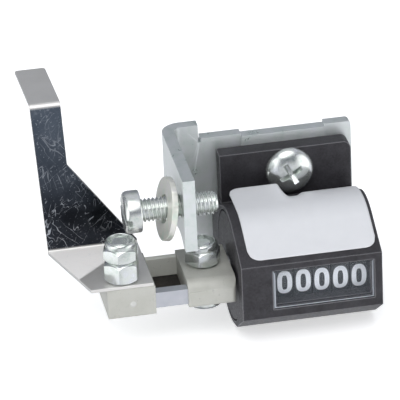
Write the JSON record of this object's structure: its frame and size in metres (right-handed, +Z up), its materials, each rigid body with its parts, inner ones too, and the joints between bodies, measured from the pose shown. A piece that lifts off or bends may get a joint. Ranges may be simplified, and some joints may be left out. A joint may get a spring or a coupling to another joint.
{
  "type": "operation counter",
  "caption": "Lever-operated mechanical counter with a number window, a sprung arm with a bent sheet blade, and a bent steel mounting bracket.",
  "frame": {"origin": "centre of the frame screw's tapped hole, on the outer face of the bracket's side plate", "axes": "+X along the counter's shaft from the lever towards the body's far end, +Y from the window to the bracket's rear plate, +Z up along the mounting flange"},
  "size_m": [0.0825, 0.0482, 0.0596],
  "materials": {
    "black_moulding": "fine matt grain",
    "inner_plate": "matt",
    "brass": "turned",
    "clear_window": "clear, bevelled edges",
    "white_label": "satin white sheet",
    "wheel_black": "smooth black with white numerals",
    "zinc_plate": "bright zinc plating, slightly mottled",
    "zinc_fastener": "bright zinc plating",
    "plain_steel": "ground",
    "spring_wire": "drawn wire",
    "cast_grey": "warm light grey, slightly grainy",
    "bar_steel": "bright zinc plating",
    "black_strip": "matt",
    "polished_sheet": "polished stainless sheet"
  },
  "bodies": {
    "counter": {"housing": "black_moulding", "left_cap": "black_moulding", "right_cap": "black_moulding", "bearing_plate": "inner_plate", "wheel_sleeve": "brass", "window_lens": "clear_window", "label": "white_label", "bracket": "zinc_plate", "flange_screw": "zinc_fastener", "frame_screw": "zinc_fastener", "frame_washer": "zinc_fastener"},
    "lever": {"drive_shaft": "plain_steel", "spring_collar": "plain_steel", "return_spring": "spring_wire", "drive_arm": "plain_steel", "pawl_pin": "plain_steel", "clamp_block": "cast_grey", "clamp_bolt": "zinc_fastener", "clamp_nut": "zinc_fastener", "arm_bar_front": "bar_steel", "arm_bar_rear": "cast_grey", "arm_strip": "black_strip", "end_block": "cast_grey", "blade": "polished_sheet", "blade_stud": "zinc_fastener", "blade_nut": "zinc_fastener", "blade_locknut": "zinc_fastener"},
    "pawl": {"drive_pawl": "plain_steel"},
    "wheel_1": {"number_wheel_1": "wheel_black"},
    "wheel_2": {"number_wheel_2": "wheel_black"},
    "wheel_3": {"number_wheel_3": "wheel_black"},
    "wheel_4": {"number_wheel_4": "wheel_black"},
    "wheel_5": {"number_wheel_5": "wheel_black", "units_ratchet": "brass"}
  },
  "joints": [
    {"name": "lever_turn", "type": "hinge", "parent": "counter", "child": "lever", "pos_m": [0.01195, 0.0023, -0.019], "axis": [1, 0, 0], "range_deg": [0, 36.5], "stiffness_Nm_per_rad": 0.03, "springref_deg": -45.84, "deforming": ["return_spring"]},
    {"name": "pawl_lift", "type": "hinge", "parent": "lever", "child": "pawl", "pos_m": [0.01195, -0.0039, -0.019], "axis": [1, 0, 0], "range_deg": [0, 15], "stiffness_Nm_per_rad": 0.0005, "springref_deg": -17.19},
    {"name": "units_turn", "type": "hinge", "parent": "counter", "child": "wheel_5", "pos_m": [0.01195, 0.0023, -0.019], "axis": [1, 0, 0], "continuous": true},
    {"name": "tens_turn", "type": "hinge", "parent": "counter", "child": "wheel_4", "pos_m": [0.01195, 0.0023, -0.019], "axis": [1, 0, 0], "continuous": true},
    {"name": "hundreds_turn", "type": "hinge", "parent": "counter", "child": "wheel_3", "pos_m": [0.01195, 0.0023, -0.019], "axis": [1, 0, 0], "continuous": true},
    {"name": "thousands_turn", "type": "hinge", "parent": "counter", "child": "wheel_2", "pos_m": [0.01195, 0.0023, -0.019], "axis": [1, 0, 0], "continuous": true},
    {"name": "ten_thousands_turn", "type": "hinge", "parent": "counter", "child": "wheel_1", "pos_m": [0.01195, 0.0023, -0.019], "axis": [1, 0, 0], "continuous": true}
  ],
  "couplings": [
    {"joint": "tens_turn", "follows": "units_turn", "ratio": 0.1},
    {"joint": "hundreds_turn", "follows": "units_turn", "ratio": 0.01},
    {"joint": "thousands_turn", "follows": "units_turn", "ratio": 0.001},
    {"joint": "ten_thousands_turn", "follows": "units_turn", "ratio": 0.0001}
  ]
}
